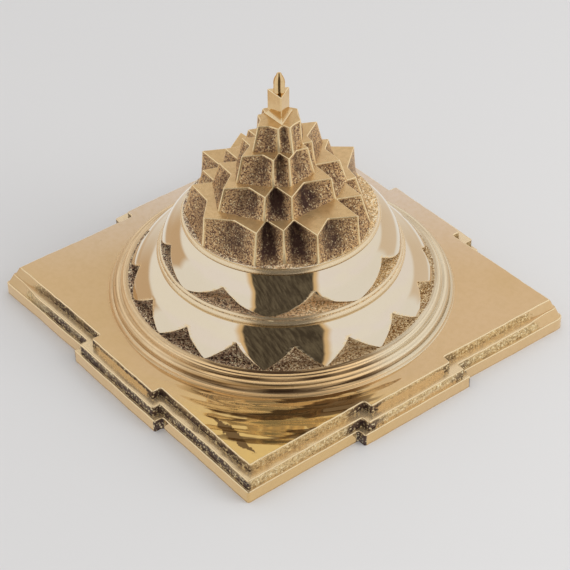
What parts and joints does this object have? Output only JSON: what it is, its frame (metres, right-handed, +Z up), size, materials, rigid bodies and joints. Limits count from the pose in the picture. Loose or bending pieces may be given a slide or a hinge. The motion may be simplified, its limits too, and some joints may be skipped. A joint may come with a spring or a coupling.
{
  "type": "meru shri yantra",
  "caption": "Brass ritual object: stepped square base with gates, two petalled drums and a pyramid of star-shaped tiers under a round-ended pin; stands on a flat surface.",
  "frame": {"origin": "centre of the base underside", "axes": "+Z up; +Y to the top of the diagram, so the central triangle points to -Y"},
  "size_m": [0.1572, 0.1572, 0.1073],
  "materials": {
    "plate_brass": "polished cast brass",
    "turned_brass": "turned and polished brass",
    "petal_brass": "mirror-polished brass, dark grained cuts",
    "tier_brass": "dark grained walls, polished faces and edges",
    "hardware_steel": "plain steel"
  },
  "bodies": {
    "root": {"base_plate": "plate_brass", "ring_moulding": "turned_brass", "sixteen_petal_drum": "petal_brass", "eight_petal_drum": "petal_brass", "fourteen_triangle_tier": "tier_brass", "outer_ten_triangle_tier": "tier_brass", "inner_ten_triangle_tier": "tier_brass", "eight_triangle_tier": "tier_brass", "central_triangle": "tier_brass", "bindu": "petal_brass", "tie_rod": "hardware_steel", "rod_washer": "hardware_steel", "rod_nut": "hardware_steel", "drum_dowels": "hardware_steel", "tier_dowels": "hardware_steel"}
  },
  "joints": []
}
